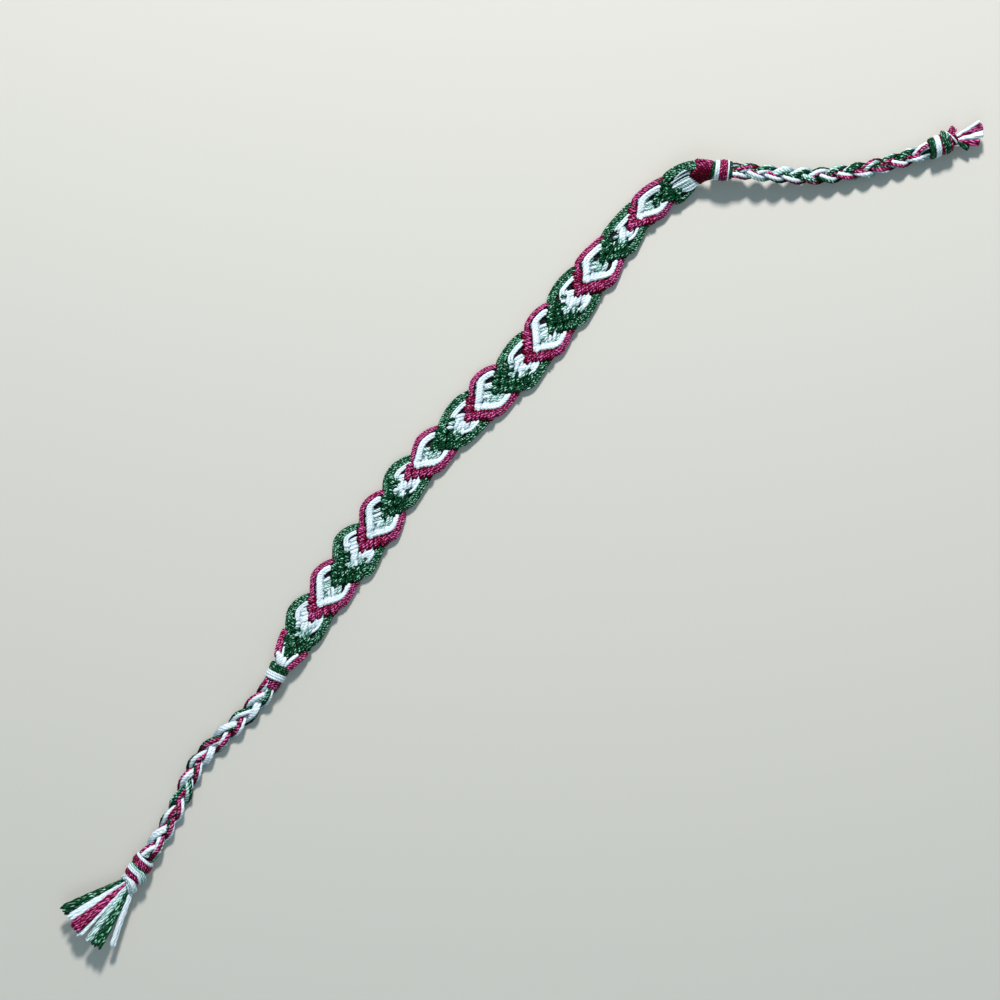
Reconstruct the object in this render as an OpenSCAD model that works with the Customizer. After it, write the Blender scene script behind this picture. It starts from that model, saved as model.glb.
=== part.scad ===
// Friendship bracelet, knotted from cotton thread in a pattern of overlapping leaves.
// It lies open. A knotted band has a gathering knot at each end, then a tie braided from
// three strands, then an end knot and a tassel of cut threads. End A has the long tassel.
// X runs along the band, Y across it to its left, and Z up from the surface that it lies on.

/* [Band] */
// Length of the knotted band between its two gathering knots
band_len = 154; // [130:1:180]
// Width that the leaf table's shares are taken of
band_w = 11; // [9:0.5:13]
// Thickness of the band at the crest of its ribs
band_t = 2.4; // [1.8:0.1:3]
// Width of the band where a gathering knot takes it in
gather_w = 4.2; // [3:0.1:5]
// Height of a leaf's rib over the hollow behind it
rib_h = 0.6; // [0.2:0.1:0.8]
// Depth of the dent between the edge strands and the knotted middle
dent_d = 0.7; // [0.2:0.1:0.8]
// How far the left arm of a leaf's rib runs along the band
arm_left = 5.1; // [3:0.1:5.8]
// How far the right arm runs along the band
arm_right = 3.9; // [3:0.1:5.8]
// Height of the band's axis at knot B, where its end stands off the surface
lift_b = 4.4; // [3:0.1:6]
// Turn of the band about its axis at knot B, left side up
twist_b = 30; // [0:1:40]

/* [Knots] */
// Diameter of the two gathering knots
knot_d = 4.8; // [4:0.1:6]
// Length of gathering knot A
knot_a_len = 3.6; // [2.5:0.1:5]
// Length of gathering knot B
knot_b_len = 4.7; // [3:0.1:6]
// Diameter of the two end knots
end_d = 5.1; // [4.4:0.1:6]
// Length of an end knot's wraps
end_len = 5.2; // [4:0.1:7]
// Diameter of an end knot's nose, which the tassel comes out of
nose_d = 3.2; // [2.6:0.1:4]
// Length of the nose past the wraps
nose_len = 1.6; // [1:0.1:3]
// Width of a loose loop of thread on an end knot
loop_w = 1.9; // [1:0.1:2.4]

/* [Ties] */
// Length of braided tie A
tie_a_len = 51.5; // [40:0.5:70]
// Length of braided tie B
tie_b_len = 46.8; // [40:0.1:70]
// Length of tie A in which each strand comes back to the same side
lay_a = 14.6; // [14:0.1:20]
// The same length of tie B, which is braided tighter
lay_b = 12.6; // [11:0.1:18]
// Width of one strand of a braid
strand_w = 1.45; // [1:0.05:1.6]
// Thickness of one strand of a braid
strand_t = 1.1; // [0.8:0.05:1.2]
// Width of a braid over its strands
braid_w = 4.25; // [4:0.05:5]
// Thickness of a braid where two strands cross
braid_t = 3; // [2.8:0.05:3.6]

/* [Tassels] */
// Length of the longest thread lock of tassel A
tassel_a_len = 16.7; // [10:0.1:24]
// Length of the longest thread lock of tassel B
tassel_b_len = 6.8; // [4:0.1:12]
// Length of a tassel's root, where its locks come together
root_len = 1.7; // [1:0.1:3]
// Width of a lock in the root
bunch_w = 1.4; // [1:0.1:2]
// Thickness of a lock at its cut end
lock_t = 1.3; // [1:0.1:2]

/* [Hidden] */

// Clear space between neighbouring pieces, and under the ties
gap = 0.15;
floor_gap = 0.05;
// Spacing of the points worked out along each axis
step = 0.5;
// Length over which the band sinks from knot A to the surface
settle_len = 8;
// Length over which the band rises and turns towards knot B
climb_len = 22;
// Lengths over which the band's square ends pass into leaning ribs
lean_a = 2;
lean_b = 7;
// Sides of every strand, loop and lock, and the ring spacing of a strand
tube_sides = 8;
strand_ring = 1.25;
loop_rings = 12;
// Straight stretches of the strands at knot A and at the other knots, and the length in
// which the braiding starts
neck_a = 0.6;
neck_b = 0.4;
ease_len = 2;
// Radius of a wrap's section in half its spacing, so that neighbours merge, and the depth
// of the knot's core under the crest of the wraps
wrap_round = 1.04;
core_depth = 0.7;
knot_sides = 48;
// Share of the thickness of a loop in its width, and of a lock's start in its root's length
loop_flat = 0.8;
lock_start = 0.3;

// Columns: share of the length, heading in degrees. Each tie sets out square to its knot
BAND_AIM = [
    [0, 12], [0.05, 7], [0.12, 4.5], [0.2, 4], [0.3, 2.5], [0.36, 0], [0.43, -5], [0.49, -8.5], [0.56, -6],
    [0.62, -3], [0.69, 1], [0.74, 3.5], [0.8, 2], [0.86, -1.5], [0.91, -10], [0.955, -22], [0.985, -42], [1, -52],
];
a_heading = BAND_AIM[0][1] + 180;
b_heading = BAND_AIM[len(BAND_AIM) - 1][1];
TIE_A_AIM = [
    [0, a_heading], [0.02, a_heading], [0.05, 182], [0.14, 178], [0.24, 172], [0.42, 172], [0.5, 182],
    [0.58, 196], [0.72, 194], [0.84, 189], [0.95, 183], [1, 185],
];
TIE_B_AIM = [
    [0, b_heading], [0.02, b_heading], [0.05, -59], [0.08, -57], [0.3, -54], [0.4, -50], [0.5, -43],
    [0.62, -42], [0.75, -35], [0.9, -33], [1, -29],
];

// Columns: share of the tie's length, shares of the way from its low height to the height of
// the gathering knot and to that of the end knot
TIE_A_RISE = [[0, 1, 0], [0.03, 1, 0], [0.16, 0, 0], [0.86, 0, 0], [0.98, 0, 1], [1, 0, 1]];
TIE_B_RISE = [[0, 1, 0], [0.13, 1, 0], [0.37, 0.54, 0], [0.52, 0.3, 0], [0.85, 0.22, 0], [0.98, 0, 1], [1, 0, 1]];

// One row for each leaf. Columns: place of its point as a share of band_len, and as shares of
// half of band_w its bulge on the left and right, the notch before it on the left and right, and
// how far to the left of the band's axis its point lies
LEAVES = [
    [0.011, 0.96, 0.95, 0.54, 0.76, 0.02], [0.078, 0.95, 1.04, 0.59, 0.83, -0.05],
    [0.141, 1.03, 1.17, 0.59, 0.92, -0.04], [0.207, 0.91, 1.15, 0.57, 0.96, -0.13],
    [0.269, 0.89, 0.90, 0.57, 0.84, -0.15], [0.335, 0.80, 0.94, 0.55, 0.79, 0.11],
    [0.395, 0.77, 1.01, 0.50, 0.85, 0.00], [0.462, 0.94, 1.07, 0.68, 0.95, -0.14],
    [0.522, 0.88, 1.16, 0.66, 0.95, -0.11], [0.588, 1.01, 1.10, 0.79, 0.95, -0.15],
    [0.646, 1.00, 1.03, 0.81, 0.87, -0.11], [0.714, 0.83, 1.05, 0.82, 0.86, 0.08],
    [0.777, 0.67, 0.91, 0.64, 0.79, 0.00], [0.841, 0.64, 0.94, 0.60, 0.67, -0.08],
    [0.898, 0.57, 0.91, 0.50, 0.68, -0.16], [0.955, 0.45, 0.62, 0.43, 0.62, 0.00],
];
// Bulge of the threads between knot A and the first leaf, on the left and right, as such shares
START = [0.58, 0.73];
// Where a leaf's bulge peaks, as a power of the way along it, and how full the bulge is
left_peak = 1;
right_peak = 0.6;
bulge_power = 0.8;

// One row for each ring across a leaf. Columns: share of the leaf's length, height of the rib,
// depth of the dent, both as shares of rib_h and dent_d
RIB = [[0, 0.15, 0.7], [0.07, 0.85, 0], [0.2, 1, 0], [0.34, 0.8, 0], [0.5, 0.5, 0.1], [0.68, 0.35, 0.5], [0.88, 0.15, 1]];
end_rib = 0.15;

// The band's section from its right edge over the top to its left edge. Columns: share of the
// half width, height as a share of band_t, share of the rib's height, share of the dent's depth
TOP = [
    [-1, 0.42, 0, 0], [-0.93, 0.8, 0, 0], [-0.8, 0.95, 0.5, 0.3], [-0.66, 1, 1, 1], [-0.48, 1, 1, 0.3],
    [-0.24, 1, 1, 0], [0, 1, 1, 0], [0.24, 1, 1, 0], [0.48, 1, 1, 0.3],
    [0.66, 1, 1, 1], [0.8, 0.95, 0.5, 0.3], [0.93, 0.8, 0, 0], [1, 0.42, 0, 0],
];
// Its underside from left to right, flat in the middle
UNDER = [[0.93, 0.1, 0, 0], [0.72, 0, 0, 0], [0, 0, 0, 0], [-0.72, 0, 0, 0], [-0.93, 0.1, 0, 0]];
SECTION = concat(TOP, UNDER);

// One row for each loose loop of an end knot, an arc about the knot's axis. Columns: how far
// past the wraps it starts and ends, its centre's place to the left and its radius, all as
// shares of half of end_d, and the angles of its start and end from the left over the top
LOOPS_A = [[0.1, 0.85, 0.35, 0.72, 165, -50], [-0.3, -0.1, 0.6, 0.6, 80, -80]];
LOOPS_B = [[-0.3, 0.05, 0.42, 0.58, 110, -60]];

// One row for each lock of cut threads. Columns: heading from the knot in degrees, length as a
// share of the tassel's, width at the cut end and its height over the root, both in lock_t
LOCKS_A = [
    [151, 1, 2.1, 1.3], [158.5, 0.95, 1.3, 1.6], [166.5, 0.94, 2, 1.7],
    [175, 0.98, 1, 1.4], [187, 0.97, 2.9, 1.6], [204, 0.92, 1.5, 0.8],
];
LOCKS_B = [
    [-20, 0.98, 1.1, 0.5], [-30, 0.97, 1.8, 0.7], [-46, 0.98, 1.5, 0.4], [-64, 0.86, 1.6, -0.1], [-86, 0.55, 1.3, -0.4],
];
// Shares of a lock's length at which it has a ring
LOCK_RINGS = [0, 0.15, 0.35, 0.65, 1];

function mix(a, b, t) = a + (b - a) * t;
function smooth(t) = let (c = min(1, max(0, t))) c * c * (3 - 2 * c);
function aim(heading) = [cos(heading), sin(heading), 0];
function unit(v) = v / norm(v);
function last(list) = list[len(list) - 1];

// The row of a table that holds x, and the eased value of one of its columns there
function row(table, x, i = 0) = i >= len(table) - 2 || x < table[i + 1][0] ? i : row(table, x, i + 1);
function eased(table, x, column) =
    let (i = row(table, x), a = table[i], b = table[i + 1])
    mix(a[column], b[column], smooth((x - a[0]) / (b[0] - a[0])));

// Points at equal steps along an axis of a given length that leaves p by a table of headings
function walk(length, table, p) =
    let (n = ceil(length / step), d = length / n)
    [for (i = 0, q = p; i <= n; q = q + d * aim(lookup((i + 0.5) / n, table)), i = i + 1) q];
// The point at distance s along such an axis
function along(points, length, s) =
    let (n = len(points) - 1, x = min(n - 0.001, max(0, s / length * n)), i = floor(x))
    mix(points[i], points[i + 1], x - i);
// Distances along a length at about a given spacing, both ends included
function spaced(length, spacing) = let (n = ceil(length / spacing)) [for (i = [0 : n]) length * i / n];

// Axes of the band and the ties, and the points where the knots sit on them
band_points = walk(band_len, BAND_AIM, [0, 0, 0]);
knot_a_at = band_points[0] + gap * aim(a_heading);
knot_b_at = last(band_points) + gap * aim(b_heading);
tie_a_points = walk(tie_a_len, TIE_A_AIM, knot_a_at + (knot_a_len + gap) * aim(a_heading));
tie_b_points = walk(tie_b_len, TIE_B_AIM, knot_b_at + (knot_b_len + gap) * aim(b_heading));
tie_a_end = last(TIE_A_AIM)[1];
tie_b_end = last(TIE_B_AIM)[1];
end_a_at = last(tie_a_points) + gap * aim(tie_a_end);
end_b_at = last(tie_b_points) + gap * aim(tie_b_end);
tassel_a_at = end_a_at + (end_len + nose_len + gap) * aim(tie_a_end);
tassel_b_at = end_b_at + (end_len + nose_len + gap) * aim(tie_b_end);

// Heights of the axes over the surface
function climb(s) = smooth((s - band_len + climb_len) / climb_len);
function band_height(s) =
    band_t / 2 + (knot_d - band_t) / 2 * (1 - smooth(s / settle_len)) + (lift_b - band_t / 2) * climb(s);
function tie_height(s, length, rise, knot_z) =
    let (low = braid_t / 2 + floor_gap, x = s / length)
    low + (knot_z - low) * eased(rise, x, 1) + (end_d / 2 - low) * eased(rise, x, 2);

// Faces of a closed skin over rings of n points each, m rings in all
function skin(n, m) = concat(
    [[for (j = [0 : n - 1]) j]],
    [for (i = [0 : m - 2], j = [0 : n - 1]) [i * n + (j + 1) % n, i * n + j, (i + 1) * n + j]],
    [for (i = [0 : m - 2], j = [0 : n - 1]) [i * n + (j + 1) % n, (i + 1) * n + j, (i + 1) * n + (j + 1) % n]],
    [[for (j = [n - 1 : -1 : 0]) (m - 1) * n + j]]
);

// Corners of a tube of oval rings over a list of points, w wide across both the way that it
// runs and the direction ref, and t thick
function tube_corners(points, w, t, ref = [0, 0, 1]) =
    let (m = len(points))
    [
        for (i = [0 : m - 1])
            let (
                way = unit(points[min(m - 1, i + 1)] - points[max(0, i - 1)]),
                side = unit(cross(ref, way)),
                up = cross(way, side)
            )
            for (j = [0 : tube_sides - 1])
                let (a = 360 * (j + 0.5) / tube_sides)
                points[i] + side * w[i] / 2 * cos(a) + up * t[i] / 2 * sin(a)
    ];
module tube(corners) {
    polyhedron(corners, skin(tube_sides, len(corners) / tube_sides));
}

// Marks along one edge of the band. Columns: place, half width there, and the half width of
// the bulge that follows, or 0
function edge(arm, start, bulge, notch) = concat(
    [[0, gather_w / 2, start * band_w / 2]],
    [for (leaf = LEAVES) [leaf[0] * band_len + arm, leaf[notch] * band_w / 2, leaf[bulge] * band_w / 2]],
    [[band_len, gather_w / 2, 0]]
);
left_edge = edge(arm_left, START[0], 1, 3);
right_edge = edge(arm_right, START[1], 2, 4);
function half_width(s, marks, peak) =
    let (
        i = row(marks, s),
        a = marks[i],
        b = marks[i + 1],
        t = min(1, (s - a[0]) / (b[0] - a[0])),
        crown = max(0, a[2] - (a[1] + b[1]) / 2)
    )
    mix(a[1], b[1], smooth(t)) + crown * pow(sin(180 * pow(t, peak)), bulge_power);

// Rings of the band. Each is a chevron that flattens at the ends. Columns: place of its point,
// height of the rib, depth of the dent, and how far to the left its point lies
leaf_ends = [for (i = [1 : len(LEAVES)]) i < len(LEAVES) ? [LEAVES[i][0], LEAVES[i][5]] : [1, 0]];
rings = concat(
    [[0, end_rib, 0, 0]],
    [
        for (i = [0 : len(LEAVES) - 1], r = RIB)
            let (leaf = LEAVES[i], next = leaf_ends[i])
            [band_len * mix(leaf[0], next[0], r[0]), r[1], r[2], band_w / 2 * mix(leaf[5], next[1], r[0])]
    ],
    [[band_len, end_rib, 0, 0]]
);
function band_corner(ring, col) =
    let (
        u = ring[0],
        q = col[0],
        lean = min(1, u / lean_a, (band_len - u) / lean_b),
        s = u + (q < 0 ? arm_right : arm_left) * abs(q) * lean,
        edge_at = q < 0 ? -half_width(s, right_edge, right_peak) : half_width(s, left_edge, left_peak),
        v = mix(ring[3] * lean, edge_at, abs(q)),
        h = band_t * (col[1] - 0.5) - rib_h * col[2] * (1 - ring[1]) - dent_d * col[3] * ring[2],
        turn = twist_b * climb(s),
        left = aim(lookup(s / band_len, BAND_AIM) + 90)
    )
    along(band_points, band_len, s) + left * (v * cos(turn) - h * sin(turn))
    + [0, 0, band_height(s) + v * sin(turn) + h * cos(turn)];
band_corners = [for (ring = rings, col = SECTION) band_corner(ring, col)];

// Corners of one lock of a tassel that starts at a point, from its row of the table
function lock_corners(at, length, lock) =
    let (points = [for (t = LOCK_RINGS) at + t * length * lock[1] * aim(lock[0]) + [0, 0, lock[3] * lock_t * smooth(t)]])
    tube_corners(
        points,
        [for (t = LOCK_RINGS) mix(bunch_w, lock[2] * lock_t, t)],
        [for (t = LOCK_RINGS) mix(bunch_w, lock_t, t)]
    );
locks_a_at = tassel_a_at + lock_start * root_len * aim(tie_a_end) + [0, 0, end_d / 2];
locks_b_at = tassel_b_at + lock_start * root_len * aim(tie_b_end) + [0, 0, end_d / 2];
tassel_a_locks = [for (lock = LOCKS_A) lock_corners(locks_a_at, tassel_a_len, lock)];
tassel_b_locks = [for (lock = LOCKS_B) lock_corners(locks_b_at, tassel_b_len, lock)];

// The band and the tassels reach all four sides of the bracelet's box, whose middle is the origin
reach = concat(band_corners, [for (locks = [tassel_a_locks, tassel_b_locks], lock = locks) each lock]);
function middle(k) = (min([for (p = reach) p[k]]) + max([for (p = reach) p[k]])) / 2;
module seated() {
    translate([-middle(0), -middle(1), 0]) children();
}

module band() {
    color("crimson") seated() polyhedron(band_corners, skin(len(SECTION), len(rings)));
}

// A knot's wraps about the Z axis: one rounded collar for each, with flat ends
module wraps(length, d, count) {
    r = length / count / 2;
    rotate_extrude($fn = knot_sides) {
        square([d / 2 - core_depth * r, length]);
        for (i = [0 : count - 1])
            intersection() {
                translate([d / 2 - wrap_round * r, (2 * i + 1) * r]) circle(r = r * wrap_round, $fn = 32);
                square([d, length]);
            }
    }
}
// Stands a thing that is built along Z on an axis at p, z above the surface, with a heading
module lay_along(p, z, heading) {
    translate([p[0], p[1], z]) rotate([0, 90, heading]) children();
}

module knot_a() {
    color("seagreen") seated() lay_along(knot_a_at, knot_d / 2, a_heading) wraps(knot_a_len, knot_d, 2);
}
module knot_b() {
    color("darkgreen") seated() lay_along(knot_b_at, lift_b, b_heading) wraps(knot_b_len, knot_d, 3);
}

// Way that the braiding has gone on at distance s: none in the straight necks at both ends
function ramp(x) = x <= 0 ? 0 : x < ease_len ? x * x / (2 * ease_len) : x - ease_len / 2;
function braided(s, length, neck) = ramp(s - neck) - ramp(s - length + neck_b + ease_len);

// A strand of a braid, which starts a third of a turn after the one before it
function strand_point(s, k, points, length, table, height, lay, neck) =
    let (
        turn = 360 * braided(s, length, neck) / lay + 120 * k,
        side = (braid_w - strand_w) / 2 * sin(turn),
        up = (braid_t - strand_t) / 2 * sin(2 * turn)
    )
    along(points, length, s) + side * aim(lookup(s / length, table) + 90) + [0, 0, height + up];
module strand(points) {
    tube(tube_corners(points, [for (p = points) strand_w], [for (p = points) strand_t]));
}
module tie_a_strand(k) {
    seated() strand([
        for (s = spaced(tie_a_len, strand_ring))
            let (z = tie_height(s, tie_a_len, TIE_A_RISE, knot_d / 2))
            strand_point(s, k, tie_a_points, tie_a_len, TIE_A_AIM, z, lay_a, neck_a)
    ]);
}
module tie_b_strand(k) {
    seated() strand([
        for (s = spaced(tie_b_len, strand_ring))
            let (z = tie_height(s, tie_b_len, TIE_B_RISE, lift_b))
            strand_point(s, k, tie_b_points, tie_b_len, TIE_B_AIM, z, lay_b, neck_b)
    ]);
}
module tie_a_strand_1() { color("white") tie_a_strand(0); }
module tie_a_strand_2() { color("mediumvioletred") tie_a_strand(1); }
module tie_a_strand_3() { color("seagreen") tie_a_strand(2); }
module tie_b_strand_1() { color("honeydew") tie_b_strand(0); }
module tie_b_strand_2() { color("crimson") tie_b_strand(1); }
module tie_b_strand_3() { color("green") tie_b_strand(2); }

// A loose loop of an end knot whose wraps end at p, from its row of the table
module loose_loop(p, heading, loop) {
    r = end_d / 2;
    points = [
        for (t = spaced(1, 1 / loop_rings))
            let (angle = mix(loop[4], loop[5], t))
            p + r * mix(loop[0], loop[1], t) * aim(heading)
            + r * (loop[2] + loop[3] * cos(angle)) * aim(heading + 90) + [0, 0, r * (1 + loop[3] * sin(angle))]
    ];
    tube(tube_corners(points, [for (q = points) loop_w * loop_flat], [for (q = points) loop_w], aim(heading)));
}
module end_knot(at, heading, loops) {
    seated() {
        lay_along(at, end_d / 2, heading) {
            wraps(end_len, end_d, 3);
            cylinder(h = end_len + nose_len, d = nose_d, $fn = knot_sides);
        }
        for (loop = loops)
            loose_loop(at + end_len * aim(heading), heading, loop);
    }
}
module end_knot_a() { color("crimson") end_knot(end_a_at, tie_a_end, LOOPS_A); }
module end_knot_b() { color("darkgreen") end_knot(end_b_at, tie_b_end, LOOPS_B); }

// A tassel: a short round root against the knot's nose, and locks that spread to their cut ends
module tassel(at, heading, locks) {
    seated() {
        lay_along(at, end_d / 2, heading) cylinder(h = root_len, d = nose_d, $fn = knot_sides);
        for (lock = locks)
            tube(lock);
    }
}
module tassel_a() { color("hotpink") tassel(tassel_a_at, tie_a_end, tassel_a_locks); }
module tassel_b() { color("hotpink") tassel(tassel_b_at, tie_b_end, tassel_b_locks); }

band();
knot_a();
knot_b();
tie_a_strand_1();
tie_a_strand_2();
tie_a_strand_3();
tie_b_strand_1();
tie_b_strand_2();
tie_b_strand_3();
end_knot_a();
end_knot_b();
tassel_a();
tassel_b();
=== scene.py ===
import math

import bpy
import numpy as np
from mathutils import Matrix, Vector


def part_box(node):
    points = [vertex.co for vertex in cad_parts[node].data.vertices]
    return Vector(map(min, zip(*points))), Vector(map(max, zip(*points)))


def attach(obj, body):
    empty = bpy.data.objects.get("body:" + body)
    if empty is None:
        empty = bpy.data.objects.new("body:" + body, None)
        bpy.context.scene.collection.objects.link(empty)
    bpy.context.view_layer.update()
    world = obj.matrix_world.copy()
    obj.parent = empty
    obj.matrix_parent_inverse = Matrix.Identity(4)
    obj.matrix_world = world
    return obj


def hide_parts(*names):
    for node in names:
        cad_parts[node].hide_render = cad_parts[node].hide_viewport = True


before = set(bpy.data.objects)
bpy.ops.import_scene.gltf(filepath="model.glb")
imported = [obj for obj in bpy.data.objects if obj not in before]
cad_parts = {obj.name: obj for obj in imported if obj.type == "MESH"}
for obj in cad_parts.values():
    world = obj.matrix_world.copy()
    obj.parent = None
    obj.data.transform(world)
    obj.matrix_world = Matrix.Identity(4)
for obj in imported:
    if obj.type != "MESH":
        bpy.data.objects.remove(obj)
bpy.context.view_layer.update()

# Lengths are millimetres until a mesh is made. Tables of the CAD model are repeated here,
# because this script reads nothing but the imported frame.
MM = 0.001
SEED = 7
random = np.random.default_rng(SEED)

# The band, its gathered width, the gap between pieces, and the spacing of an axis's points
BAND_LEN, BAND_W, BAND_T = 154.0, 11.0, 2.4
GATHER_W, GAP, STEP = 4.2, 0.15, 0.5
# How far a leaf's left and right arms run along the band
ARM_LEFT, ARM_RIGHT = 5.1, 3.9
# Lengths over which the band sinks from knot A and climbs to knot B, its height and turn there
SETTLE_LEN, CLIMB_LEN, LIFT_B, TWIST_B = 8.0, 22.0, 4.4, 30.0
# Gathering knots, and end knots with their noses
KNOT_D, KNOT_A_LEN, KNOT_B_LEN = 4.8, 3.6, 4.7
END_D, END_LEN, NOSE_LEN = 5.1, 5.2, 1.6
# Ties, the length in which a strand comes back to its side, straight necks at a tie's ends, and
# the length over which the braiding starts
TIE_A_LEN, TIE_B_LEN = 51.5, 46.8
LAY_A, LAY_B, NECK_A, NECK_B, EASE_LEN = 14.6, 12.6, 0.6, 0.4, 2.0
BRAID_T, FLOOR_GAP = 3.0, 0.05

# Columns: share of the length, heading in degrees
BAND_AIM = [
    (0, 12), (0.05, 7), (0.12, 4.5), (0.2, 4), (0.3, 2.5), (0.36, 0), (0.43, -5), (0.49, -8.5),
    (0.56, -6), (0.62, -3), (0.69, 1), (0.74, 3.5), (0.8, 2), (0.86, -1.5), (0.91, -10), (0.955, -22),
    (0.985, -42), (1, -52),
]
HEADING_A, HEADING_B = BAND_AIM[0][1] + 180, BAND_AIM[-1][1]
TIE_A_AIM = [
    (0, HEADING_A), (0.02, HEADING_A), (0.05, 182), (0.14, 178), (0.24, 172), (0.42, 172), (0.5, 182),
    (0.58, 196), (0.72, 194), (0.84, 189), (0.95, 183), (1, 185),
]
TIE_B_AIM = [
    (0, HEADING_B), (0.02, HEADING_B), (0.05, -59), (0.08, -57), (0.3, -54), (0.4, -50), (0.5, -43),
    (0.62, -42), (0.75, -35), (0.9, -33), (1, -29),
]
# Columns: share of the length, shares of the way to the gathering knot's and the end knot's height
TIE_A_RISE = [(0, 1, 0), (0.03, 1, 0), (0.16, 0, 0), (0.86, 0, 0), (0.98, 0, 1), (1, 0, 1)]
TIE_B_RISE = [
    (0, 1, 0), (0.13, 1, 0), (0.37, 0.54, 0), (0.52, 0.3, 0), (0.85, 0.22, 0), (0.98, 0, 1), (1, 0, 1),
]
# Columns: place of the leaf's point as a share of the length; bulge left and right, notch left
# and right, and how far left the point lies, as shares of half the width
LEAVES = [
    (0.011, 0.96, 0.95, 0.54, 0.76, 0.02), (0.078, 0.95, 1.04, 0.59, 0.83, -0.05),
    (0.141, 1.03, 1.17, 0.59, 0.92, -0.04), (0.207, 0.91, 1.15, 0.57, 0.96, -0.13),
    (0.269, 0.89, 0.9, 0.57, 0.84, -0.15), (0.335, 0.8, 0.94, 0.55, 0.79, 0.11),
    (0.395, 0.77, 1.01, 0.5, 0.85, 0), (0.462, 0.94, 1.07, 0.68, 0.95, -0.14),
    (0.522, 0.88, 1.16, 0.66, 0.95, -0.11), (0.588, 1.01, 1.1, 0.79, 0.95, -0.15),
    (0.646, 1, 1.03, 0.81, 0.87, -0.11), (0.714, 0.83, 1.05, 0.82, 0.86, 0.08),
    (0.777, 0.67, 0.91, 0.64, 0.79, 0), (0.841, 0.64, 0.94, 0.6, 0.67, -0.08),
    (0.898, 0.57, 0.91, 0.5, 0.68, -0.16), (0.955, 0.45, 0.62, 0.43, 0.62, 0),
]
# Bulge before the first leaf's arms end, on the left and right, as shares of half the width
START = (0.58, 0.73)
# Where a leaf's bulge peaks, as a power of the way along it, and how full the bulge is
LEFT_PEAK, RIGHT_PEAK, BULGE_POWER = 1.0, 0.6, 0.8


def mix(a, b, t):
    return a + (b - a) * t


def smooth(t):
    c = np.clip(t, 0, 1)
    return c * c * (3 - 2 * c)


def aim(degrees):
    a = np.radians(degrees)
    return np.stack([np.cos(a), np.sin(a)], -1)


def add_object(name, data):
    made = bpy.data.objects.new(name, data)
    bpy.context.scene.collection.objects.link(made)
    return made


def unit(v):
    return v / np.maximum(np.linalg.norm(v, axis=-1, keepdims=True), 1e-9)


def table(rows, x, column=1):
    return np.interp(x, [r[0] for r in rows], [r[column] for r in rows])


def eased(rows, x, column):
    """A table's column between its rows, with a level start and end at each row."""
    keys = np.array([r[0] for r in rows])
    i = np.clip(np.searchsorted(keys, x, side="right") - 1, 0, len(rows) - 2)
    values = np.array([r[column] for r in rows], float)
    return mix(values[i], values[i + 1], smooth((x - keys[i]) / (keys[i + 1] - keys[i])))


class Axis:
    """A centre line that leaves a point by a table of headings, as the CAD model walks it."""

    def __init__(self, length, rows, start):
        n = math.ceil(length / STEP)
        turns = aim(table(rows, (np.arange(n) + 0.5) / n)) * (length / n)
        self.length, self.rows = length, rows
        self.points = np.vstack([[start], start + np.cumsum(turns, 0)])
        self.marks = np.linspace(0, length, n + 1)

    def at(self, s):
        inside = np.clip(s, 0, self.length)
        over = (s - inside)[..., None] * aim(self.heading(s))
        return np.stack([np.interp(inside, self.marks, self.points[:, k]) for k in (0, 1)], -1) + over

    def heading(self, s):
        return table(self.rows, np.clip(s / self.length, 0, 1))

    def left(self, s):
        return aim(self.heading(s) + 90)


# The gathering knot's own box says where the band starts
low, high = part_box("knot_a")
KNOT_A_MIDDLE = np.array([(low.x + high.x) / 2, (low.y + high.y) / 2]) / MM
band_start = KNOT_A_MIDDLE - (GAP + KNOT_A_LEN / 2) * aim(HEADING_A)
band_axis = Axis(BAND_LEN, BAND_AIM, band_start)
knot_a_at = band_start + GAP * aim(HEADING_A)
knot_b_at = band_axis.points[-1] + GAP * aim(HEADING_B)
tie_a_axis = Axis(TIE_A_LEN, TIE_A_AIM, knot_a_at + (KNOT_A_LEN + GAP) * aim(HEADING_A))
tie_b_axis = Axis(TIE_B_LEN, TIE_B_AIM, knot_b_at + (KNOT_B_LEN + GAP) * aim(HEADING_B))
END_HEADING_A, END_HEADING_B = TIE_A_AIM[-1][1], TIE_B_AIM[-1][1]
end_a_at = tie_a_axis.points[-1] + GAP * aim(END_HEADING_A)
end_b_at = tie_b_axis.points[-1] + GAP * aim(END_HEADING_B)
tassel_a_at = end_a_at + (END_LEN + NOSE_LEN + GAP) * aim(END_HEADING_A)
tassel_b_at = end_b_at + (END_LEN + NOSE_LEN + GAP) * aim(END_HEADING_B)


def climb(s):
    return smooth((s - BAND_LEN + CLIMB_LEN) / CLIMB_LEN)


def band_place(p):
    """Flat band coordinates, which are along, left and up from the underside, to the frame's."""
    s, v, h = p[..., 0], p[..., 1], p[..., 2] - BAND_T / 2
    turn = np.radians(TWIST_B) * climb(s)
    settle = (KNOT_D - BAND_T) / 2 * (1 - smooth(s / SETTLE_LEN))
    height = BAND_T / 2 + settle + (LIFT_B - BAND_T / 2) * climb(s)
    across = (v * np.cos(turn) - h * np.sin(turn))[..., None] * band_axis.left(s)
    up = height + v * np.sin(turn) + h * np.cos(turn)
    return np.concatenate([band_axis.at(s) + across, up[..., None]], -1)


def tie_placer(axis, rise, knot_height):
    """Coordinates along a tie, to its left and up from its own axis, to the frame's."""
    def place(p):
        s = p[..., 0]
        low = BRAID_T / 2 + FLOOR_GAP
        x = np.clip(s / axis.length, 0, 1)
        height = low + (knot_height - low) * eased(rise, x, 1) + (END_D / 2 - low) * eased(rise, x, 2)
        flat = axis.at(s) + p[..., 1:2] * axis.left(s)
        return np.concatenate([flat, (height + p[..., 2])[..., None]], -1)
    return place


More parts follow.
